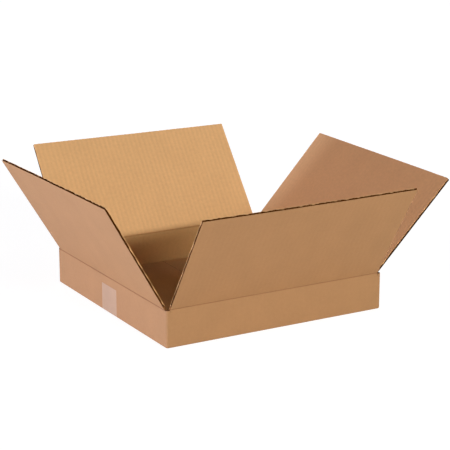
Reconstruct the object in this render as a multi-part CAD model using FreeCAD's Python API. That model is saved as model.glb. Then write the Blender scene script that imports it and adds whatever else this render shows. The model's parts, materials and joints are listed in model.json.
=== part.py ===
import FreeCAD
import Part
import math
import os

# Shallow corrugated cardboard box, set up, with its four top flaps open.
# Millimetres. +Z is up, the front wall faces -Y and the left wall faces -X.
# The origin is the centre of the underside, where the box rests.

# The room inside the box, and the board that it is folded from
inside_length = 355.6
inside_width = 355.6
board = 4.0
corner_radius = 4.0
base_fold_radius = 2.0

# Height of the fold line of the left and right flaps above the underside
fold_height = 56.0

# Top flaps: the side edges stand in from the outer wall faces by the slot,
# and two closed flaps leave the meeting gap between their free edges.
slot_inset = 6.5
meeting_gap = 2.5
post_side_gap = 0.4
post_top_drop = 0.3

# How far each flap leans outward from upright, in degrees
front_lean_deg = 32.4
right_lean_deg = 45.2
back_lean_deg = 35.6
left_lean_deg = 31.2

# The folds. The left and right flaps lie under the other two when closed,
# so they turn on a line close to the outer wall face, with a mitred crease.
# The front and back flaps turn on a line deeper in the board, and higher.
mitre_axis_inset = 0.5
mitre_clearance = 1.0
round_axis_inset = 3.0
round_running_gap = 0.3
round_outer_clearance = 1.4
closed_layer_gap = 0.2

# Flutes: a pressed medium between two flat liners, running away from the fold
liner = 0.3
flute_pitch = 7.9
glue_line_half = 0.75
flute_crown_half = 0.5
medium_crown = 0.3
crushed_at_fold = 6.0

# The base: front and back base flaps outside, left and right ones on top
base_layer_gap = 0.2
base_seam_gap = 1.5

# The maker's glued joint, a tab inside the back right corner
tab_width = 35.0
tab_thickness = 3.4
tab_end_clearance = 0.6

# Packing tape over the seam of the base, turned up on the left and right walls
tape_width = 48.0
tape_height = 42.5
tape_thickness = 0.12

# How far a cutting block runs past what it cuts
cut_overrun = 1.0

flute_foot_half = flute_pitch / 2 - glue_line_half
outer_length = inside_length + 2 * board
outer_width = inside_width + 2 * board
base_top = 2 * board + base_layer_gap
mitre_axis_height = fold_height
round_axis_height = (
    mitre_axis_height + mitre_axis_inset + closed_layer_gap + board - round_axis_inset
)
post_top = fold_height - post_top_drop
post_width = slot_inset - post_side_gap
upright = FreeCAD.Vector(0, 0, 1)


def box(low, high):
    """A block between its lowest and highest corners."""
    size = [high[i] - low[i] for i in range(3)]
    return Part.makeBox(size[0], size[1], size[2], FreeCAD.Vector(*low))


def outline_face(edges):
    """A flat face inside a closed run of edges."""
    return Part.Face(Part.Wire(Part.__sortEdges__(edges)))


def line(start, end):
    return Part.LineSegment(start, end).toShape()


def arc(start, middle, end):
    return Part.Arc(start, middle, end).toShape()


def rounded_block(length, width, radius, bottom, top):
    """An upright block centred on the origin, with rounded upright edges."""
    block = box((-length / 2, -width / 2, bottom), (length / 2, width / 2, top))
    if radius <= 0:
        return block
    edges = [e for e in block.Edges if abs(e.tangentAt(e.FirstParameter).z) > 0.99]
    return block.makeFillet(radius, edges)


def turned(shape, quarter_turns):
    """The shape turned about the box's upright centre line."""
    copy = shape.copy()
    copy.rotate(FreeCAD.Vector(0, 0, 0), upright, 90 * quarter_turns)
    return copy


def walls():
    """The four walls, with the board's outer fold round the base."""
    block = rounded_block(outer_length, outer_width, corner_radius, 0, post_top)
    low_edges = [e for e in block.Edges if e.BoundBox.ZMax < base_fold_radius / 2]
    block = block.makeFillet(base_fold_radius, low_edges)
    inner_radius = max(corner_radius - board, 0)
    room = rounded_block(inside_length, inside_width, inner_radius,
                         -cut_overrun, post_top + cut_overrun)
    return block.cut(room)


def wall_top_cut(wall_length, wall_distance, outer_height, inner_height):
    """What is taken off a wall's top so that its flap can turn, front view."""
    half = wall_length / 2 - post_width
    x = -half
    outer = -wall_distance
    inner = outer + board
    slope = (inner_height - outer_height) / board
    reach = cut_overrun
    points = [
        FreeCAD.Vector(x, outer - reach, outer_height - slope * reach),
        FreeCAD.Vector(x, inner + reach, inner_height + slope * reach),
        FreeCAD.Vector(x, inner + reach, post_top + reach),
        FreeCAD.Vector(x, outer - reach, post_top + reach),
    ]
    face = Part.Face(Part.makePolygon(points + points[:1]))
    return face.extrude(FreeCAD.Vector(2 * half, 0, 0))


def round_wall_heights():
    """Top of the front and back walls, at their outer and inner faces."""
    outer = round_axis_height - round_axis_inset - round_outer_clearance
    radius = round_axis_inset + round_running_gap
    drop = round_axis_height - outer
    angle = math.atan2(drop, round_axis_inset)
    tangent = math.acos(radius / math.hypot(drop, round_axis_inset))
    normal = -math.pi + angle + tangent
    slope = -math.cos(normal) / math.sin(normal)
    return outer, outer + slope * board


def mitre_wall_heights():
    """Top of the left and right walls, at their outer and inner faces."""
    outer = mitre_axis_height - mitre_clearance
    return outer, outer - board


def base_flap(length, width, bottom):
    """One base flap, folded in from the front wall as far as the seam."""
    half = length / 2 - slot_inset
    return box(
        (-half, -width / 2 + board / 2, bottom),
        (half, -base_seam_gap / 2, bottom + board),
    )


def glue_tab():
    """The joint's tab, glued to the inside of the right wall at its back end."""
    inner_x = inside_length / 2
    inner_y = inside_width / 2
    low = (inner_x - tab_thickness, inner_y - tab_width, base_top + tab_end_clearance)
    high_z = mitre_wall_heights()[1] - tab_end_clearance
    return box(low, (inner_x + board / 2, inner_y + board / 2, high_z))


def tape():
    """The tape: a flat strip under the base, turned up at both ends."""
    half = outer_length / 2
    radius = base_fold_radius
    t = tape_thickness
    y = -tape_width / 2
    diagonal = math.sqrt(0.5)

    def side(sign, offset):
        r = radius - offset
        face_x = sign * (half - offset)
        bend_x = sign * (half - radius)
        high = FreeCAD.Vector(face_x, y, tape_height)
        start = FreeCAD.Vector(face_x, y, radius)
        middle = FreeCAD.Vector(bend_x + sign * r * diagonal, y, radius - r * diagonal)
        end = FreeCAD.Vector(bend_x, y, offset)
        return high, start, middle, end

    edges = []
    for sign in (-1, 1):
        outside = side(sign, 0)
        inside = side(sign, t)
        for high, start, middle, end in (outside, inside):
            edges.append(line(high, start))
            edges.append(arc(start, middle, end))
        edges.append(line(outside[0], inside[0]))
    for offset in (0, t):
        edges.append(line(side(-1, offset)[3], side(1, offset)[3]))
    return outline_face(edges).extrude(FreeCAD.Vector(0, tape_width, 0))


def box_body():
    """Walls, base flaps and glued joint: one sheet of board, folded."""
    body = walls()
    pieces = [glue_tab()]
    outer_base = base_flap(outer_length, outer_width, 0)
    inner_base = base_flap(outer_width, outer_length, board + base_layer_gap)
    pieces += [turned(outer_base, 0), turned(outer_base, 2)]
    pieces += [turned(inner_base, 1), turned(inner_base, 3)]
    body = body.fuse(pieces)
    round_cut = wall_top_cut(outer_length, outer_width / 2, *round_wall_heights())
    mitre_cut = wall_top_cut(outer_width, outer_length / 2, *mitre_wall_heights())
    cuts = [turned(round_cut, 0), turned(round_cut, 2)]
    cuts += [turned(mitre_cut, 1), turned(mitre_cut, 3), tape()]
    return body.cut(cuts).removeSplitter()


def flute_channels(width, first, last):
    """The hollows between medium and liners, from one height to another."""
    y_outer = liner
    y_inner = board - liner
    channels = []
    half_pitch = flute_pitch / 2
    last_step = math.ceil((width / 2 + flute_foot_half) / half_pitch) - 1
    for step in range(-last_step, last_step + 1):
        x = step * half_pitch
        foot_y, crown_y = y_outer, y_inner - medium_crown
        if step % 2:
            foot_y, crown_y = y_inner, y_outer + medium_crown
        points = [
            FreeCAD.Vector(x - flute_foot_half, foot_y, first),
            FreeCAD.Vector(x + flute_foot_half, foot_y, first),
            FreeCAD.Vector(x + flute_crown_half, crown_y, first),
            FreeCAD.Vector(x - flute_crown_half, crown_y, first),
        ]
        face = Part.Face(Part.makePolygon(points + points[:1]))
        channels.append(face.extrude(FreeCAD.Vector(0, 0, last - first)))
    return channels


def round_end(x, free_edge):
    """Section of a front or back flap, upright, its turning line at y 0, z 0."""
    r = round_axis_inset
    inner = board - r
    low = -math.sqrt(r * r - inner * inner)
    outer_foot = FreeCAD.Vector(x, -r, 0)
    lowest = FreeCAD.Vector(x, -r * math.sqrt(0.5), -r * math.sqrt(0.5))
    inner_foot = FreeCAD.Vector(x, inner, low)
    inner_tip = FreeCAD.Vector(x, inner, free_edge)
    outer_tip = FreeCAD.Vector(x, -r, free_edge)
    return outline_face([
        arc(outer_foot, lowest, inner_foot),
        line(inner_foot, inner_tip),
        line(inner_tip, outer_tip),
        line(outer_tip, outer_foot),
    ])


def mitred_end(x, free_edge):
    """Section of a left or right flap, upright, its turning line at y 0, z 0."""
    r = mitre_axis_inset
    inner = board - r
    diagonal = r * math.sqrt(0.5)
    outer_foot = FreeCAD.Vector(x, -r, 0)
    lowest = FreeCAD.Vector(x, 0, -r)
    bevel_foot = FreeCAD.Vector(x, diagonal, -diagonal)
    inner_foot = FreeCAD.Vector(x, inner, inner - 2 * diagonal)
    inner_tip = FreeCAD.Vector(x, inner, free_edge)
    outer_tip = FreeCAD.Vector(x, -r, free_edge)
    return outline_face([
        arc(outer_foot, lowest, bevel_foot),
        line(bevel_foot, inner_foot),
        line(inner_foot, inner_tip),
        line(inner_tip, outer_tip),
        line(outer_tip, outer_foot),
    ])


def flap(section, axis_inset, axis_height, wall_length, wall_distance, lean, quarter_turns):
    """A top flap of fluted board, leaning outward over its own wall."""
    width = wall_length - 2 * slot_inset
    free_edge = wall_distance - axis_inset - meeting_gap / 2
    sheet = section(-width / 2, free_edge).extrude(FreeCAD.Vector(width, 0, 0))
    channels = flute_channels(width, crushed_at_fold, free_edge + cut_overrun)
    for channel in channels:
        channel.translate(FreeCAD.Vector(0, -axis_inset, 0))
    sheet = sheet.cut(channels)
    sheet.rotate(FreeCAD.Vector(0, 0, 0), FreeCAD.Vector(1, 0, 0), lean)
    sheet.translate(FreeCAD.Vector(0, axis_inset - wall_distance, axis_height))
    return turned(sheet, quarter_turns)


def round_flap(lean, quarter_turns):
    """A front or back flap, which closes on top."""
    return flap(round_end, round_axis_inset, round_axis_height,
                outer_length, outer_width / 2, lean, quarter_turns)


def mitred_flap(lean, quarter_turns):
    """A left or right flap, which closes first."""
    return flap(mitred_end, mitre_axis_inset, mitre_axis_height,
                outer_width, outer_length / 2, lean, quarter_turns)


nodes = {
    "box_body": box_body(),
    "front_flap": round_flap(front_lean_deg, 0),
    "right_flap": mitred_flap(right_lean_deg, 1),
    "back_flap": round_flap(back_lean_deg, 2),
    "left_flap": mitred_flap(left_lean_deg, 3),
    "bottom_tape": tape(),
}

os.makedirs("parts", exist_ok=True)
for name, shape in nodes.items():
    shape.exportStep("parts/" + name + ".step")
    print(name, "solids", len(shape.Solids), "volume", round(shape.Volume, 1),
          "valid", shape.isValid())
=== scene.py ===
import json
import math

import bpy
import numpy as np
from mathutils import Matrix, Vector


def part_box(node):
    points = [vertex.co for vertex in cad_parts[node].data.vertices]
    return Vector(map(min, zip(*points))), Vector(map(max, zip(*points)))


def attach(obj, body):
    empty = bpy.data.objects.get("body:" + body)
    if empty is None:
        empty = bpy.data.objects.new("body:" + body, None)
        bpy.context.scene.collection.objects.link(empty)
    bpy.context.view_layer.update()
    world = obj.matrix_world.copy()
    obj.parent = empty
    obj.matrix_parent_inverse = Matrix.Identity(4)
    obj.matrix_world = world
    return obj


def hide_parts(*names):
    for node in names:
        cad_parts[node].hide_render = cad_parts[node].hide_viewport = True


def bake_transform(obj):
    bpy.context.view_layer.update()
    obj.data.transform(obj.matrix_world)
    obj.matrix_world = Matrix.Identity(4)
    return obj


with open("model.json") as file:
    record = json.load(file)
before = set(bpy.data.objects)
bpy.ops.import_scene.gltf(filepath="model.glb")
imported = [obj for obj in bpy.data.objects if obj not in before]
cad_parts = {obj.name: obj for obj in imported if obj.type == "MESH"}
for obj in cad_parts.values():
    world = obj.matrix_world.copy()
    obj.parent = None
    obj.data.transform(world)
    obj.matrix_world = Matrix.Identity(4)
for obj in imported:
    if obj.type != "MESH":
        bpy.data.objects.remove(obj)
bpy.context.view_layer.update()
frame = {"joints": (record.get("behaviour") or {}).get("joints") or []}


# Kraft paper of the board. The outer liner is the smoother and redder sheet, the inner
# liner is lighter and yellower, and the pressed medium between them is rough and brown,
# painted much darker with the shade that fills the flutes. All three are unbleached and
# uncoated, so they are matt, mottled and a little flecked.
outer_liner_tone = (0.333, 0.169, 0.068, 1)
inner_liner_tone = (0.670, 0.378, 0.166, 1)
# Painted shade: the medium's own brown, darkened for the shade inside the flutes
shaded_medium_tone = (0.125, 0.038, 0.006, 1)
# The board where the knife has cut through it, its brown painted darker with the shade of
# the open flutes, and where it has torn the inner liner
shaded_cut_tone = (0.175, 0.072, 0.022, 1)
torn_tone = (0.620, 0.340, 0.145, 1)
# What the painted shade along a folded score, and a scuffed edge, multiply the paper's colour
# by
crease_shade_tone = (0.60, 0.47, 0.36, 1)
scuff_tone = (1.12, 1.10, 1.06, 1)
crease_shade_width = 0.0012
scuff_reach = 0.0012
flute_pitch = 0.0079
flutes_a_side = 46
# The stripes of painted light and shade across the flutes come and go along the sheet, once
# in two panels. They fade in between two values of that slow wave, and between two heights
# on the flat sheet.
stripe_patch = 2 * flutes_a_side * flute_pitch
stripe_fade = (-0.6, 0.1)
stripe_rise = (0.052, 0.070)
fleck_fade = (0.20, 0.30)
fleck_shade = 0.5
fibre_relief = 0.6
FLOAT = "NodeSocketFloat"
COLOR = "NodeSocketColor"


def add_node(tree, kind, inputs=(), **settings):
    """A shader node with its settings, and with a value or a link at each named input."""
    node = tree.nodes.new(kind)
    for name, value in settings.items():
        setattr(node, name, value)
    for name, value in dict(inputs).items():
        if isinstance(value, bpy.types.NodeSocket):
            tree.links.new(value, node.inputs[name])
        else:
            node.inputs[name].default_value = value
    return node


def add_math(tree, operation, first, second=0.0):
    """The result of a sum on two values or sockets."""
    inputs = {0: first, 1: second}
    return add_node(tree, "ShaderNodeMath", inputs, operation=operation).outputs[0]


def add_mix(tree, blend, factor, first, second):
    """Two colours mixed or multiplied by a factor."""
    inputs = {0: factor, 6: first, 7: second}
    node = add_node(tree, "ShaderNodeMix", inputs, data_type="RGBA", blend_type=blend)
    return node.outputs[2]


def sheet_value(tree, name):
    """A measure that each point of the board carries, in metres on the flat sheet."""
    return add_node(tree, "ShaderNodeAttribute", attribute_name=name).outputs["Fac"]


def new_group(name, inputs, outputs):
    """An empty shader group, with the sockets that go in and those that come out."""
    tree = bpy.data.node_groups.new(name, "ShaderNodeTree")
    for title, kind, value in inputs:
        socket = tree.interface.new_socket(title, in_out="INPUT", socket_type=kind)
        socket.default_value = value
    for title, kind in outputs:
        tree.interface.new_socket(title, in_out="OUTPUT", socket_type=kind)
    return tree, tree.nodes.new("NodeGroupInput").outputs, tree.nodes.new("NodeGroupOutput")


def add_noise(tree, along_scale, up_scale, detail, roughness=0.5):
    """Noise over the flat sheet, centred on nought, stretched by its two scales."""
    x = add_math(tree, "MULTIPLY", sheet_value(tree, "along"), along_scale)
    y = add_math(tree, "MULTIPLY", sheet_value(tree, "up"), up_scale)
    place = add_node(tree, "ShaderNodeCombineXYZ", {"X": x, "Y": y}).outputs[0]
    inputs = {"Vector": place, "Scale": 1.0, "Detail": detail, "Roughness": roughness}
    noise = add_node(tree, "ShaderNodeTexNoise", inputs).outputs["Fac"]
    return add_math(tree, "SUBTRACT", noise, 0.5)


def add_fall(tree, distance, reach):
    """1 at no distance, falling smoothly to 0 over about the reach."""
    ratio = add_math(tree, "DIVIDE", distance, reach)
    square = add_math(tree, "MULTIPLY", ratio, ratio)
    return add_math(tree, "EXPONENT", add_math(tree, "MULTIPLY", square, -1.0))


def add_ramp(tree, value, low, high):
    """0 below the low value and 1 above the high one, rising evenly between them."""
    inputs = {"Value": value, "From Min": low, "From Max": high}
    return add_node(tree, "ShaderNodeMapRange", inputs).outputs[0]


# Shader group: clouds and mottle in the pulp, strands across the flutes, dark flecks, and
# faint stripes of painted light and shade over the ridges of the flutes. The stripes show
# above the folds, all along the front and back flaps, where light falls across the flutes,
# and fade out on the other two.
fibres, given, result = new_group(
    "paper_fibres",
    [("Tone", COLOR, outer_liner_tone), ("Clouds", FLOAT, 0.1), ("Mottle", FLOAT, 0.2),
     ("Strands", FLOAT, 0.2), ("Flecks", FLOAT, 0.3), ("Stripes", FLOAT, 0.0)],
    [("Color", COLOR), ("Height", FLOAT)],
)
clouds = add_noise(fibres, along_scale=26, up_scale=20, detail=2)
mottle = add_noise(fibres, along_scale=210, up_scale=210, detail=4, roughness=0.6)
strands = add_noise(fibres, along_scale=650, up_scale=2600, detail=3, roughness=0.65)
# Painted light and shade: stripes across the flutes, as light grazing their ridges makes them
flute_turn = add_math(fibres, "MULTIPLY", sheet_value(fibres, "along"), math.tau / flute_pitch)
unevenness = add_noise(fibres, along_scale=95, up_scale=9, detail=2)
unevenness = add_math(fibres, "ADD", unevenness, 0.5)
stripes = add_math(fibres, "MULTIPLY", add_math(fibres, "COSINE", flute_turn), unevenness)
patch_turn = add_math(fibres, "MULTIPLY", sheet_value(fibres, "along"), math.tau / stripe_patch)
patch = add_ramp(fibres, add_math(fibres, "COSINE", patch_turn), *stripe_fade)
on_flap = add_ramp(fibres, sheet_value(fibres, "up"), *stripe_rise)
stripes = add_math(fibres, "MULTIPLY", stripes, add_math(fibres, "MULTIPLY", patch, on_flap))
shade = 1.0
for pattern, title in ((clouds, "Clouds"), (mottle, "Mottle"), (strands, "Strands"),
                       (stripes, "Stripes")):
    pattern = add_math(fibres, "MULTIPLY", pattern, given[title])
    shade = add_math(fibres, "ADD", shade, pattern)
shaded = add_node(fibres, "ShaderNodeVectorMath", {0: given["Tone"], "Scale": shade},
                  operation="SCALE").outputs[0]
dark = add_node(fibres, "ShaderNodeVectorMath", {0: shaded, "Scale": fleck_shade},
                operation="SCALE").outputs[0]
speck = add_noise(fibres, along_scale=700, up_scale=1300, detail=2, roughness=0.7)
speck = add_ramp(fibres, speck, *fleck_fade)
speck = add_math(fibres, "MULTIPLY", speck, given["Flecks"])
fibres.links.new(add_mix(fibres, "MIX", speck, shaded, dark), result.inputs["Color"])
fibres.links.new(add_math(fibres, "ADD", strands, mottle), result.inputs["Height"])

# Shader group: painted shade that darkens the liner along a score, and the liner scuffed
# lighter at cut edges
shade_and_wear, given, result = new_group(
    "board_shade_and_wear",
    [("Color", COLOR, outer_liner_tone), ("Crease shade", FLOAT, 0.6), ("Scuff", FLOAT, 0.6)],
    [("Color", COLOR)],
)
# Painted shade: the liner darker along each fold line, where the crease holds shade
crease_shade = add_fall(shade_and_wear, sheet_value(shade_and_wear, "from_fold"), crease_shade_width)
crease_shade = add_math(shade_and_wear, "MULTIPLY", crease_shade, given["Crease shade"])
crease_shaded = add_mix(shade_and_wear, "MULTIPLY", crease_shade, given["Color"], crease_shade_tone)
scuff = add_fall(shade_and_wear, sheet_value(shade_and_wear, "from_edge"), scuff_reach)
patchy = add_noise(shade_and_wear, along_scale=500, up_scale=500, detail=3)
patchy = add_math(shade_and_wear, "ADD", patchy, 0.6)
scuff = add_math(shade_and_wear, "MULTIPLY", add_math(shade_and_wear, "MULTIPLY", scuff, patchy), given["Scuff"])
shaded_and_worn = add_mix(shade_and_wear, "MULTIPLY", scuff, crease_shaded, scuff_tone)
shade_and_wear.links.new(shaded_and_worn, result.inputs["Color"])


def paper(name, tone, looks, crease_shade, scuff, shine, roughness, bump):
    """A kraft paper: its tone, the strengths of its clouds, mottle, strands, flecks and
    stripes of painted light and shade, its painted shade along scores and its wear at cut
    edges, its shine, and its fibres' height."""
    material = bpy.data.materials.new(name)
    material.use_nodes = True
    tree = material.node_tree
    shader = tree.nodes["Principled BSDF"]
    sheet = add_node(tree, "ShaderNodeGroup", node_tree=fibres)
    sheet.inputs["Tone"].default_value = tone
    for title, value in zip(("Clouds", "Mottle", "Strands", "Flecks", "Stripes"), looks):
        sheet.inputs[title].default_value = value
    used = add_node(tree, "ShaderNodeGroup", node_tree=shade_and_wear)
    used.inputs["Crease shade"].default_value = crease_shade
    used.inputs["Scuff"].default_value = scuff
    tree.links.new(sheet.outputs["Color"], used.inputs["Color"])
    tree.links.new(used.outputs["Color"], shader.inputs["Base Color"])
    fuzz = {"Height": sheet.outputs["Height"], "Strength": fibre_relief, "Distance": bump}
    bumped = add_node(tree, "ShaderNodeBump", fuzz).outputs["Normal"]
    tree.links.new(bumped, shader.inputs["Normal"])
    shader.inputs["Roughness"].default_value = roughness
    shader.inputs["Specular IOR Level"].default_value = shine
    return material


board_papers = [
    paper("outer_liner", outer_liner_tone, looks=(0.16, 0.16, 0.12, 0.35, 0.02),
          crease_shade=0.9, scuff=0.6, shine=0.30, roughness=0.72, bump=0.00012),
    paper("inner_liner", inner_liner_tone, looks=(0.10, 0.24, 0.20, 0.35, 0.06),
          crease_shade=0.8, scuff=0.0, shine=0.25, roughness=0.80, bump=0.00016),
    paper("fluted_medium", shaded_medium_tone, looks=(0.20, 0.40, 0.40, 0.30, 0.0),
          crease_shade=0.0, scuff=0.0, shine=0.03, roughness=0.95, bump=0.00030),
    paper("cut_board", shaded_cut_tone, looks=(0.20, 0.60, 0.50, 0.30, 0.0),
          crease_shade=0.0, scuff=0.0, shine=0.03, roughness=0.95, bump=0.00030),
    paper("torn_liner", torn_tone, looks=(0.60, 0.80, 0.50, 0.60, 0.0),
          crease_shade=0.0, scuff=0.0, shine=0.05, roughness=0.95, bump=0.00030),
]
OUTER, INNER, MEDIUM, CUT, TORN = range(5)


# Walls. They are one upright band of single-wall board, scored and folded at the four
# corners, where the board is crushed to a soft edge. Between the slots that part the top
# flaps, a narrow post of it stands at each corner, up to the level of the folds.
board = 0.004
corner_radius = 0.004
inner_corner_radius = 0.001
base_fold_radius = 0.002
underside_lift = 0.00006
slot_inset = 0.0065
post_gap = 0.0004
crease_half = 0.005
# The liners sag between the flutes, unevenly along the sheet and more on some panels
outer_sag = 0.00005
inner_sag = 0.00013
sag_unevenness = 0.45
sag_wavelength = 5 * flute_pitch
sag_seed = 3
sag_panel_share = 0.4
edge_crush = 0.00040
edge_crush_reach = 0.0012
# Depth and reach of the dent that the score leaves in each liner
outer_score = (0.00022, 0.0010)
inner_score = (0.00060, 0.0010)
# Three sine waves make an uneven one: their lengths, how these vary, and their joint peak
wave_stretches = (1.7, 1.0, 0.61)
wave_spread = (0.85, 1.15)
wave_peak = 2.2
columns_a_flute = 8
post_columns = 5
corner_step = 15
bend_rows = 6
wall_rows = 12
sharp_angle = math.radians(38)
# Stands for the distance to an edge or a fold where there is none near by
no_edge = 1.0

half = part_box("box_body")[1].x
post_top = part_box("box_body")[1].z
flap_half = half - slot_inset
notch_half = flap_half + post_gap
fold_heights = {joint["child"]: joint["pos_m"][2] for joint in frame["joints"]}
SIDES = ("front_flap", "right_flap", "back_flap", "left_flap")


def wander(place, wavelength, seed):
    """A smooth uneven wave between about -1 and 1, the same in each run."""
    dice = np.random.default_rng(seed)
    total = np.zeros_like(place)
    for stretch in wave_stretches:
        length = wavelength * stretch * dice.uniform(*wave_spread)
        total = total + np.sin(math.tau * place / length + dice.uniform(0, math.tau))
    return total / wave_peak


def turned(x, y, quarter_turns):
    """A place on the front turned about the box's upright centre line."""
    for _ in range(quarter_turns):
        x, y = -y, x
    return x, y


def relief(along, from_fold, from_edge):
    """How far the outer and the inner liner lie inside the flat board's two faces."""
    turn = math.tau * along / flute_pitch
    uneven = 1 + sag_unevenness * wander(along, sag_wavelength, sag_seed)
    slow_wave = np.cos(math.tau * along / stripe_patch)
    uneven = uneven * (1 - sag_panel_share + sag_panel_share * slow_wave)
    whole = uneven * (1 - np.exp(-(from_fold / (2 * crease_half)) ** 2))
    crush = edge_crush * np.exp(-from_edge / edge_crush_reach)
    outer = outer_sag * whole * (0.5 + 0.5 * np.cos(turn)) + crush
    inner = inner_sag * whole * (0.5 - 0.5 * np.cos(turn)) + crush / 4
    outer = outer + outer_score[0] * np.exp(-(from_fold / outer_score[1]) ** 2)
    inner = inner + inner_score[0] * np.exp(-(from_fold / inner_score[1]) ** 2)
    return outer, inner


def grid(x, y, z, along, up, from_edge, from_fold):
    """A grid of points of the board, each with its place on the flat sheet."""
    return np.stack(np.broadcast_arrays(x, y, z, along, up, from_edge, from_fold), -1)


def closed_sheet(front, back, skin, lining, rim, ringed=False):
    """A closed sheet between two grids of points. The front faces out of the sheet."""
    columns, rows = front.shape[:2]
    count = columns * rows
    index = np.arange(count).reshape(columns, rows)
    here, ahead = (index, np.roll(index, -1, 0)) if ringed else (index[:-1], index[1:])
    quads = np.stack([here[:, :-1], ahead[:, :-1], ahead[:, 1:], here[:, 1:]], -1)
    quads = quads.reshape(-1, 4)
    if ringed:
        first = np.concatenate([ahead[:, 0], here[:, -1]])
        second = np.concatenate([here[:, 0], ahead[:, -1]])
    else:
        second = np.concatenate([index[:, 0], index[-1, 1:], index[-2::-1, -1],
                                 index[0, -2:0:-1]])
        first = np.roll(second, -1)
    sides = np.stack([first, second, second + count, first + count], -1)
    faces = np.concatenate([quads, quads[:, ::-1] + count, sides])
    finish = np.repeat([skin, lining, rim], [len(quads), len(quads), len(sides)])
    points = np.concatenate([front.reshape(count, -1), back.reshape(count, -1)])
    return points, faces, finish


def make_piece(name, sheets, materials):
    """One object from closed sheets, with the place on the flat sheet at each point."""
    starts = np.cumsum([0] + [len(points) for points, _, _ in sheets])
    points = np.concatenate([points for points, _, _ in sheets])
    faces = np.concatenate([faces + start for (_, faces, _), start in zip(sheets, starts)])
    mesh = bpy.data.meshes.new(name)
    mesh.from_pydata(points[:, :3].tolist(), [], faces.tolist())
    for channel, title in enumerate(("along", "up", "from_edge", "from_fold"), 3):
        attribute = mesh.attributes.new(title, "FLOAT", "POINT")
        attribute.data.foreach_set("value", points[:, channel].astype(np.float32))
    for material in materials:
        mesh.materials.append(material)
    finishes = np.concatenate([finish for _, _, finish in sheets]).astype(np.int32)
    mesh.polygons.foreach_set("material_index", finishes)
    mesh.polygons.foreach_set("use_smooth", np.ones(len(faces), bool))
    mesh.set_sharp_from_angle(angle=sharp_angle)
    piece = bpy.data.objects.new(name, mesh)
    bpy.context.scene.collection.objects.link(piece)
    return piece


def wall_side(quarter):
    """The columns of one wall and of the corner after it, outer and inner points."""
    straight = half - corner_radius
    inner_straight = half - board - inner_corner_radius
    step = flute_pitch / columns_a_flute
    run = np.linspace(-notch_half, notch_half, round(2 * notch_half / step) + 1)
    post = np.linspace(notch_half, straight, post_columns)
    x = np.concatenate([-post[::-1], run, post])
    notched = np.repeat([False, True, False], [len(post), len(run), len(post)])
    inner_x = np.sign(x) * np.interp(abs(x), [0, notch_half, straight],
                                     [0, notch_half, inner_straight])
    corner = np.radians(np.arange(corner_step, 90, corner_step))
    zero, one = np.zeros_like(x), np.ones_like(x)
    outer_x = np.concatenate([x, straight + corner_radius * np.sin(corner)])
    outer_y = np.concatenate([-half * one, -straight - corner_radius * np.cos(corner)])
    normal_x = np.concatenate([zero, np.sin(corner)])
    normal_y = np.concatenate([-one, -np.cos(corner)])
    bend = inner_corner_radius
    inner_x = np.concatenate([inner_x, inner_straight + bend * np.sin(corner)])
    inner_y = np.concatenate([(board - half) * one, -inner_straight - bend * np.cos(corner)])
    notched = np.concatenate([notched, np.zeros(len(corner), bool)])
    along = np.concatenate([x, straight + corner_radius * corner])
    along = along + quarter * flutes_a_side * flute_pitch
    fold = fold_heights[SIDES[quarter]]
    top = np.where(notched, fold - crease_half, post_top)
    flat = np.where(abs(outer_x) > notch_half, 0.0, 1.0)
    places = [turned(outer_x, outer_y, quarter), turned(inner_x, inner_y, quarter),
              turned(normal_x, normal_y, quarter)]
    return np.stack([*places[0], *places[1], *places[2], along, top, notched, flat,
                     np.full_like(along, fold)], -1)


sides = np.concatenate([wall_side(quarter) for quarter in range(4)])
(outer_x, outer_y, inner_x, inner_y, normal_x, normal_y, along, top, notched, flat,
 fold) = (column[:, None] for column in sides.T)
bend_turn = np.radians(np.linspace(0, 90, bend_rows))[None, :]
share = np.linspace(0, 1, wall_rows)[None, 1:]
bend_z = base_fold_radius * (1 - np.cos(bend_turn)) + underside_lift + 0 * along
rise_z = bend_z[:, -1:] + (top - bend_z[:, -1:]) * share
wall_z = np.concatenate([bend_z, rise_z], 1)
drawn_in = base_fold_radius * (1 - np.sin(bend_turn)) + 0 * along
drawn_in = np.concatenate([drawn_in, 0 * rise_z], 1)
inner_z = underside_lift + (top - underside_lift) * np.linspace(0, 1, wall_z.shape[1])[None, :]
from_top = np.where(notched > 0, no_edge, post_top - wall_z)
outer_in, _ = relief(along, fold - wall_z, from_top)
_, inner_in = relief(along, fold - inner_z, from_top)
outer_in = outer_in * flat + drawn_in
inner_in = inner_in * flat
outside = grid(outer_x - normal_x * outer_in, outer_y - normal_y * outer_in, wall_z,
               along, wall_z, from_top, abs(fold - wall_z))
inside = grid(inner_x + normal_x * inner_in, inner_y + normal_y * inner_in, inner_z,
              along, inner_z, from_top, abs(fold - inner_z))
walls = make_piece("board_walls", [closed_sheet(outside, inside, OUTER, INNER, CUT, True)],
                   board_papers)
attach(walls, "body")
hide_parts("box_body")


# Base flaps. They go on from the foot of each wall, folded in flat. The front and back
# ones lie outside, under the left and right ones, and each pair meets at a narrow seam
# across the middle of the base.
base_layer_gap = 0.0002
base_seam_gap = 0.0005
base_rows = 16
seam_y = base_seam_gap / 2
inner_base_level = board + base_layer_gap
flap_columns = round(2 * flap_half / flute_pitch * columns_a_flute) + 1
base_x = np.linspace(-flap_half, flap_half, flap_columns)[:, None]


def base_flap(quarter, level):
    """One base flap between its wall's inner face and the seam."""
    y = -np.linspace(seam_y, half - board, base_rows)[None, :]
    from_seam = -y - seam_y
    edge = np.minimum(from_seam, flap_half - abs(base_x))
    low_in, high_in = relief(base_x, no_edge, edge)
    sheet_along = base_x + quarter * flutes_a_side * flute_pitch
    faces = []
    for z in (level + low_in, level + board - high_in):
        x_turned, y_turned = turned(*np.broadcast_arrays(base_x, y), quarter)
        faces.append(grid(x_turned, y_turned, z, sheet_along, -half - y, edge, no_edge))
    return closed_sheet(*faces, OUTER, INNER, CUT)


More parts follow.
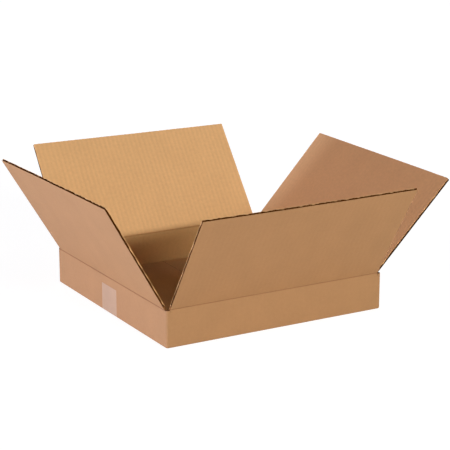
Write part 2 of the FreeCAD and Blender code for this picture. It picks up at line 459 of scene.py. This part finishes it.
for name, quarter in (("front", 0), ("right", 1), ("back", 2), ("left", 3)):
    level = inner_base_level if quarter % 2 else underside_lift
    base = make_piece("base_flap_" + name, [base_flap(quarter, level)], board_papers)
    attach(base, "body")
    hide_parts("box_body")


# Glued joint. The maker closes the band of walls with a tab on the end of the back wall,
# crushed a little thinner and glued flat inside the right wall. Its ends are cut at a
# slant, so that it clears the base and the fold above it.
tab_width = 0.035
tab_thickness = 0.0034
tab_end_clearance = 0.0006
tab_slant = math.tan(math.radians(12))
glue_line = 0.00002
tab_columns = 33
tab_floor = 2 * board + base_layer_gap + tab_end_clearance
tab_ceiling = fold_heights["right_flap"] - crease_half - tab_end_clearance

tab_y = (half - board - np.linspace(0, tab_width, tab_columns))[:, None]
tab_share = np.linspace(0, 1, wall_rows)[None, :]
slanted = (half - board - tab_y) * tab_slant
tab_z = tab_floor + slanted + (tab_ceiling - tab_floor - 2 * slanted) * tab_share
tab_edge = tab_y - (half - board - tab_width)
tab_along = 3 * flutes_a_side * flute_pitch - flap_half - tab_y + 0 * tab_z
tab_in, _ = relief(tab_along, no_edge, tab_edge + 0 * tab_z)
face_x = half - board - tab_thickness + tab_in
back_x = half - board - glue_line + 0 * tab_z
tab_faces = [grid(x, tab_y, tab_z, tab_along, tab_z, tab_edge, no_edge)
             for x in (face_x, back_x)]
tab = make_piece("glue_tab", [closed_sheet(*tab_faces, INNER, OUTER, CUT)], board_papers)
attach(tab, "body")
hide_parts("box_body")


# Top flaps. Each is one leaf of the same sheet: two flat liners with the wavy medium
# glued between them, and its flutes open at the cut free edge. Handling has left three
# of the flaps a little twisted, and their knife-cut edges a little crushed and ragged.
liner = 0.0003
medium = 0.00025
glue_slack = 0.00002
torn_lip = 0.0012
torn_reach = 0.0006
torn_wavelength = 0.017
torn_slant = 1.3
ragged = 0.00035
free_cut_wavelength = 0.006
free_cut_reach = 0.004
side_cut_wavelength = 0.009
warp_depth = 0.00015
warp_wavelength = 0.11
# First seeds of the uneven waves. The place of a flap's side in SIDES is added to each.
free_cut_seed = 11
side_cut_seed = 31
warp_seed = 51
torn_seed = 71
# Extra lean in degrees at the low and the high end of each flap, and how far it bows
twists = {"front_flap": (0.0, 0.0), "right_flap": (0.0, -2.0),
          "back_flap": (2.4, 0.0), "left_flap": (0.0, -1.5)}
bows = {"front_flap": -0.0006, "right_flap": 0.0006, "back_flap": -0.0006,
        "left_flap": 0.0006}
corner_rounding = {"front_flap": (0.0008, 0.0008), "right_flap": (0.0024, 0.0012),
                   "back_flap": (0.0008, 0.0010), "left_flap": (0.0010, 0.0008)}
closed_angle = 90
# Rows of points up a flap: some close to the crease, evenly spaced ones, and some close
# to the free edge
rows_at_crease = np.array([0, 0.001, 0.0025, 0.005, 0.010])
rows_at_tip = np.array([0.006, 0.004, 0.0028, 0.0020, 0.0013, 0.0008, 0.0004, 0.00015, 0])
even_rows = 13
even_rows_start = 0.018
even_rows_end = 0.014
columns_at_side = np.array([0.0002, 0.0005])
whole_flutes = 44
medium_columns_a_flute = 12
medium_shortfall = 0.0002


class Fold:
    """Where one flap turns, how far it leans out, and how far it reaches."""

    def __init__(self, joint):
        self.flap = joint["child"]
        self.name = self.flap.split("_")[0]
        self.quarter = SIDES.index(self.flap)
        self.height = joint["pos_m"][2]
        self.inset = half - max(abs(joint["pos_m"][0]), abs(joint["pos_m"][1]))
        self.lean = joint["range_deg"][1] - closed_angle
        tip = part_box(self.flap)[1].z - self.height
        lean = math.radians(self.lean)
        inner_rise = (board - self.inset) * math.sin(lean)
        self.reach = (tip - inner_rise) / math.cos(lean)
        self.start = self.quarter * flutes_a_side * flute_pitch

    def place(self, x, depth, up, bent=1.0):
        """World places of points along the fold, deep in the board, up from the axis."""
        low_end, high_end = twists[self.flap]
        share = 0.5 + x / (2 * flap_half)
        lean = np.radians(self.lean + low_end * (1 - share) + high_end * share) * bent
        y = depth - self.inset
        out = y * np.cos(lean) - up * np.sin(lean) + self.inset - half
        high = y * np.sin(lean) + up * np.cos(lean) + self.height
        return (*turned(*np.broadcast_arrays(x, out), self.quarter), high)


def side_cut(fold, up):
    """How far short of its full half width a flap is cut, at heights above its fold."""
    uneven = wander(up, side_cut_wavelength, side_cut_seed + fold.quarter)
    return ragged * 0.5 * (0.5 + 0.5 * uneven)


def flap_points(fold, columns, rows):
    """Places on the flat flap: cut ragged at its edges and rounded at its corners."""
    x = columns[:, None]
    uneven = wander(x, free_cut_wavelength, free_cut_seed + fold.quarter)
    free = fold.reach - ragged * (0.5 + 0.5 * uneven)
    near_end = np.clip((rows - (fold.reach - free_cut_reach)) / free_cut_reach, 0, 1)
    up = rows[None, :] + (free - fold.reach) * near_end[None, :]
    limit = flap_half - side_cut(fold, rows)[None, :]
    for sign, radius in zip((-1, 1), corner_rounding[fold.flap]):
        over = np.clip(rows - (fold.reach - radius), 0, radius)[None, :]
        drawn = radius - np.sqrt(np.maximum(radius ** 2 - over ** 2, 0))
        x = np.where(np.sign(columns)[:, None] == sign,
                     x * (limit - drawn) / flap_half, x)
    edge = np.minimum(fold.reach - rows[None, :], flap_half - abs(columns)[:, None])
    return x, up, np.maximum(edge, 0)


def uneven_rows(fold):
    """Rows up a flap, close together at the crease and at the free edge."""
    low, high = crease_half + even_rows_start, fold.reach - even_rows_end
    middle = np.linspace(low, high, even_rows)
    return np.concatenate([crease_half + rows_at_crease, middle, fold.reach - rows_at_tip])


liner_columns = np.linspace(-flap_half, flap_half, flap_columns)
edge_columns = flap_half - columns_at_side
liner_columns = np.unique(np.concatenate([liner_columns, edge_columns, -edge_columns]))
medium_columns = np.linspace(-flap_half, flap_half, whole_flutes * medium_columns_a_flute + 1)


def warp(fold, x, up):
    """The flap's slow bow out of flat, more towards its free edge."""
    bow = bows[fold.flap] * np.cos(math.pi * x / (2 * flap_half)) * (up / fold.reach) ** 2
    uneven = wander(x, warp_wavelength, warp_seed + fold.quarter)
    return bow + warp_depth * uneven * (up / fold.reach)


def inner_thickness(fold, x, up, edge):
    """The inner liner's thickness, with the torn lip that the knife leaves at cut edges."""
    uneven = wander(x + torn_slant * up, torn_wavelength, torn_seed + fold.quarter)
    torn = np.clip(0.5 + 0.5 * uneven, 0, 1) ** 2
    return liner + torn_lip * torn * np.exp(-(edge / torn_reach) ** 2)


def liner_sheet(fold, outer):
    """The outer or the inner liner of a flap."""
    x, up, edge = flap_points(fold, liner_columns, uneven_rows(fold))
    outer_in, inner_in = relief(x, up, edge)
    inner_face = board - inner_in
    depths = (inner_face - inner_thickness(fold, x, up, edge), inner_face)
    if outer:
        depths = (outer_in, outer_in + liner)
    faces = [grid(*fold.place(x, depth + warp(fold, x, up), up), x + fold.start,
                  fold.height + up, edge, up) for depth in depths]
    # The liners' faces inside the flutes take the medium's painted shade
    return closed_sheet(*faces, *((OUTER, MEDIUM, CUT) if outer else (MEDIUM, INNER, TORN)))


def medium_sheet(fold):
    """The wavy medium, which touches the outer and the inner liner by turns."""
    rows = np.concatenate([uneven_rows(fold)[::3], [fold.reach - medium_shortfall]])
    x, up, edge = flap_points(fold, medium_columns, np.unique(rows))
    outer_in, inner_in = relief(x, up, edge)
    lining = inner_thickness(fold, x, up, edge)
    room = board - liner - lining - outer_in - inner_in - medium - 2 * glue_slack
    middle = (board + liner - lining + outer_in - inner_in) / 2
    wave = middle + room / 2 * np.cos(math.tau * x / flute_pitch)
    faces = [grid(*fold.place(x, wave + side * medium / 2 + warp(fold, x, up), up),
                  x + fold.start, fold.height + up, edge, up) for side in (-1, 1)]
    return closed_sheet(*faces, MEDIUM, MEDIUM, MEDIUM)


folds = [Fold(joint) for joint in frame["joints"]]
for fold in folds:
    leaf = make_piece(fold.name + "_top_flap",
                      [liner_sheet(fold, True), liner_sheet(fold, False), medium_sheet(fold)],
                      board_papers)
    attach(leaf, fold.flap)
    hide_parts(fold.flap)


# Creases. Each flap hangs on its wall by the same sheet, pressed along a score line that
# crushes the flutes and dents the inner liner. The strip of board across the score is bent
# from the wall's upright to the flap's lean.
bend_half = 0.0020
# Rows of points across a crease: evenly spaced ones over its middle, and a few outside
crease_middle = 0.0024
crease_middle_rows = 13
crease_outer_shares = np.array([1, 0.8, 0.6])


def crease_sheet(fold):
    """The crushed strip, from the wall below the turning line to the flap above it."""
    middle = np.linspace(-crease_middle, crease_middle, crease_middle_rows)
    outer = crease_half * crease_outer_shares
    s = np.concatenate([-outer, middle, outer[::-1]])[None, :]
    x = liner_columns[:, None]
    edge = np.maximum(flap_half - abs(x), 0) + 0 * s
    outer_in, inner_in = relief(x, abs(s), edge)
    ramp = np.clip((s + bend_half) / (2 * bend_half), 0, 1)
    bent = ramp * ramp * (3 - 2 * ramp)
    on_flap = np.clip(s / crease_half, 0, 1)
    drawn = side_cut(fold, np.array([[crease_half]])) * on_flap
    placed_x = x * (flap_half - drawn) / flap_half
    shift = warp(fold, placed_x, crease_half) * on_flap
    faces = [grid(*fold.place(placed_x, depth + shift, s, bent), x + fold.start,
                  fold.height + s, edge, abs(s)) for depth in (outer_in, board - inner_in)]
    return closed_sheet(*faces, OUTER, INNER, CUT)


for fold in folds:
    strip = make_piece(fold.name + "_crease", [crease_sheet(fold)], board_papers)
    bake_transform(strip)


# Sealing tape. One strip of thin clear film with a tan tint runs under the base along the
# seam of the outer base flaps, and turns up at both ends on the left and right walls. The
# cutter has left fine teeth at its ends.
tape_width = 0.048
tape_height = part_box("bottom_tape")[1].z
film = 0.00005
tape_tone = (0.355, 0.218, 0.126, 1)
tooth_depth = 0.0007
teeth = 24
points_a_tooth = 4
half_tooth = points_a_tooth // 2
# Rows of points along the tape: up each wall below the strip of the teeth, and the base
toothed_strip = 0.003
rows_up_wall = 9
rows_under_base = 24

film_material = bpy.data.materials.new("tape_film")
film_material.use_nodes = True
film_tree = film_material.node_tree
film_shader = film_tree.nodes["Principled BSDF"]
film_paper = add_node(film_tree, "ShaderNodeGroup", node_tree=fibres)
film_paper.inputs["Tone"].default_value = tape_tone
for title, value in (("Clouds", 0.3), ("Mottle", 0.15), ("Strands", 0.0), ("Flecks", 0.05)):
    film_paper.inputs[title].default_value = value
film_edge = add_node(film_tree, "ShaderNodeGroup", {"Color": film_paper.outputs["Color"]},
                     node_tree=shade_and_wear)
film_edge.inputs["Crease shade"].default_value = 0.0
film_edge.inputs["Scuff"].default_value = 1.0
film_tree.links.new(film_edge.outputs["Color"], film_shader.inputs["Base Color"])
wrinkles = add_noise(film_tree, along_scale=60, up_scale=140, detail=3)
film_bump = add_node(film_tree, "ShaderNodeBump",
                     {"Height": wrinkles, "Strength": 0.35, "Distance": 0.0004})
film_tree.links.new(film_bump.outputs["Normal"], film_shader.inputs["Normal"])
film_shader.inputs["Roughness"].default_value = 0.33
film_shader.inputs["Specular IOR Level"].default_value = 0.35
film_shader.inputs["Coat Weight"].default_value = 0.10
film_shader.inputs["Coat Roughness"].default_value = 0.22

tape_columns = points_a_tooth * teeth + 1
tape_y = -np.linspace(-tape_width / 2, tape_width / 2, tape_columns)[None, :]
saw = abs(np.arange(tape_columns) % points_a_tooth - half_tooth)[None, :] / half_tooth
down = np.linspace(tape_height - toothed_strip, base_fold_radius, rows_up_wall)
down = np.concatenate([[tape_height], down])
round_turn = np.radians(np.linspace(10, 80, bend_rows))
span = half - base_fold_radius
path_x = np.concatenate([np.full(len(down), -half),
                         -span - base_fold_radius * np.cos(round_turn)])
path_z = np.concatenate([down, base_fold_radius * (1 - np.sin(round_turn))])
out_x = np.concatenate([np.full(len(down), -1.0), -np.cos(round_turn)])
out_z = np.concatenate([np.zeros(len(down)), -np.sin(round_turn)])
flat_x = np.linspace(-span, span, rows_under_base)
path_x = np.concatenate([path_x, flat_x, -path_x[::-1]])[:, None]
out_x = np.concatenate([out_x, 0 * flat_x, -out_x[::-1]])[:, None]
path_z = np.concatenate([path_z, 0 * flat_x, path_z[::-1]])[:, None]
out_z = np.concatenate([out_z, 0 * flat_x - 1, out_z[::-1]])[:, None]
tip = np.zeros_like(path_z)
tip[[0, -1]] = tooth_depth
path_along = np.cumsum(np.hypot(np.diff(path_x, axis=0, prepend=path_x[:1]),
                                np.diff(path_z, axis=0, prepend=path_z[:1])), 0)
tape_faces = []
for lift in (film, 0.0):
    level = path_z - tip * saw + out_z * lift + film
    tape_faces.append(grid(path_x + out_x * lift, tape_y, level, path_along, tape_y,
                           tape_width / 2 - abs(tape_y), no_edge))
tape = make_piece("sealing_tape", [closed_sheet(*tape_faces, 0, 0, 0)], [film_material])
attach(tape, "body")
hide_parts("bottom_tape")


# Studio. The box stands on a plain white floor that gives a little light of its own, in
# white surroundings that are dim overhead. Soft lamps stand low round it, so that its
# walls and flaps are lit from the side.
floor_size = 12.0
floor_level = -0.0002
# The floor as it lights the box, and as the camera sees it
floor_white = (0.85, 0.84, 0.83, 1)
floor_fill = 0.34
floor_catch = (0.22, 0.22, 0.22, 1)
floor_glow = 0.90
# The surroundings as they light the box, from the horizon up to where they are darkest
air_tint = (1, 0.96, 0.86, 1)
air_white = (1, 1, 1, 1)
horizon_level = 0.14
overhead_level = 0.026
overhead_start = 0.7
lamp_distance = 8.0
near_lamp_distance = 3.0


def add_looked_at(tree):
    """1 where the camera looks, straight or through something clear, and otherwise 0."""
    rays = add_node(tree, "ShaderNodeLightPath").outputs
    return add_math(tree, "MAXIMUM", rays["Is Camera Ray"], rays["Is Transmission Ray"])


corner = floor_size / 2
floor_mesh = bpy.data.meshes.new("studio_floor")
floor_mesh.from_pydata([(-corner, -corner, floor_level), (corner, -corner, floor_level),
                        (corner, corner, floor_level), (-corner, corner, floor_level)],
                       [], [(0, 1, 2, 3)])
floor = bpy.data.objects.new("studio_floor", floor_mesh)
bpy.context.scene.collection.objects.link(floor)
floor_material = bpy.data.materials.new("floor_paint")
floor_material.use_nodes = True
tree = floor_material.node_tree
tree.nodes.clear()
paint = add_node(tree, "ShaderNodeBsdfDiffuse", {"Color": floor_white})
fill = add_node(tree, "ShaderNodeEmission", {"Strength": floor_fill})
bounce = add_node(tree, "ShaderNodeAddShader", {0: paint.outputs[0], 1: fill.outputs[0]})
catch = add_node(tree, "ShaderNodeBsdfDiffuse", {"Color": floor_catch})
glow = add_node(tree, "ShaderNodeEmission", {"Strength": floor_glow})
seen = add_node(tree, "ShaderNodeAddShader", {0: glow.outputs[0], 1: catch.outputs[0]})
floor_mix = add_node(tree, "ShaderNodeMixShader",
                     {0: add_looked_at(tree), 1: bounce.outputs[0], 2: seen.outputs[0]})
add_node(tree, "ShaderNodeOutputMaterial", {"Surface": floor_mix.outputs[0]})
floor_mesh.materials.append(floor_material)

world = bpy.data.worlds.new("studio_air")
bpy.context.scene.world = world
world.use_nodes = True
tree = world.node_tree
tree.nodes.clear()
direction = add_node(tree, "ShaderNodeTexCoord").outputs["Generated"]
rise = add_node(tree, "ShaderNodeSeparateXYZ", {0: direction}).outputs["Z"]
dimming = {"Value": rise, "From Min": 0.0, "From Max": overhead_start,
           "To Min": horizon_level, "To Max": overhead_level}
level = add_node(tree, "ShaderNodeMapRange", dimming).outputs[0]
dim = add_node(tree, "ShaderNodeBackground", {"Color": air_tint, "Strength": level})
white = add_node(tree, "ShaderNodeBackground", {"Color": air_white, "Strength": 1.0})
world_mix = add_node(tree, "ShaderNodeMixShader",
                     {0: add_looked_at(tree), 1: dim.outputs[0], 2: white.outputs[0]})
add_node(tree, "ShaderNodeOutputWorld", {"Surface": world_mix.outputs[0]})


def add_lamp(name, azimuth, elevation, size, power, tint, distance=lamp_distance):
    """A soft lamp aimed at the middle of the box, at the level of the folds. Azimuth 0
    is in front of the box and 90 at its right, and the size is across and up."""
    a, e = math.radians(azimuth), math.radians(elevation)
    toward = Vector((math.sin(a) * math.cos(e), -math.cos(a) * math.cos(e), math.sin(e)))
    data = bpy.data.lights.new(name, "AREA")
    data.shape = "RECTANGLE"
    data.size, data.size_y = size
    data.energy = power
    data.color = tint
    lamp = bpy.data.objects.new(name, data)
    bpy.context.scene.collection.objects.link(lamp)
    lamp.location = toward * distance + Vector((0, 0, post_top))
    lamp.rotation_mode = "QUATERNION"
    lamp.rotation_quaternion = toward.to_track_quat("Z", "Y")


# The cool lamp close by at the left is so low that the left flap shades the right one
# evenly. The others stand far off: a wide one higher up at the left, two narrow ones in
# front, and weaker wide ones at the right and behind.
add_lamp("left_low_lamp", azimuth=-94, elevation=2.2, size=(0.5, 0.24), power=85.7,
         tint=(0.582, 0.712, 1.0), distance=near_lamp_distance)
add_lamp("left_high_lamp", azimuth=-104, elevation=20, size=(4.0, 1.2), power=335,
         tint=(0.95, 0.83, 1.0))
add_lamp("front_lamp", azimuth=8, elevation=18.2, size=(2.4, 0.16), power=313,
         tint=(0.95, 0.945, 1.0))
add_lamp("front_right_lamp", azimuth=20, elevation=18.7, size=(2.4, 0.32), power=251,
         tint=(0.94, 1.0, 0.885))
add_lamp("right_lamp", azimuth=85, elevation=22, size=(4.0, 1.6), power=130,
         tint=(0.98, 1.0, 0.99))
add_lamp("back_lamp", azimuth=165, elevation=12, size=(4.0, 1.6), power=208,
         tint=(1.0, 0.98, 0.98))


# Camera. It looks down a little on the near corner from the front left, through a long
# lens from about three metres away.
camera_azimuth = math.radians(-29.86)
camera_elevation = math.radians(15.52)
camera_distance = 2.9442
camera_target = Vector((0.2127, 0.3412, 0))
camera_lens = 132.4

camera_data = bpy.data.cameras.new("camera")
camera_data.lens = camera_lens
camera_data.sensor_width = 36
camera_data.clip_end = 50
camera = bpy.data.objects.new("camera", camera_data)
bpy.context.scene.collection.objects.link(camera)
backward = Vector((math.sin(camera_azimuth) * math.cos(camera_elevation),
                   -math.cos(camera_azimuth) * math.cos(camera_elevation),
                   math.sin(camera_elevation)))
camera.location = camera_target + backward * camera_distance
camera.rotation_mode = "QUATERNION"
camera.rotation_quaternion = (-backward).to_track_quat("-Z", "Y")
bpy.context.scene.camera = camera
bpy.context.scene.view_settings.view_transform = "Standard"
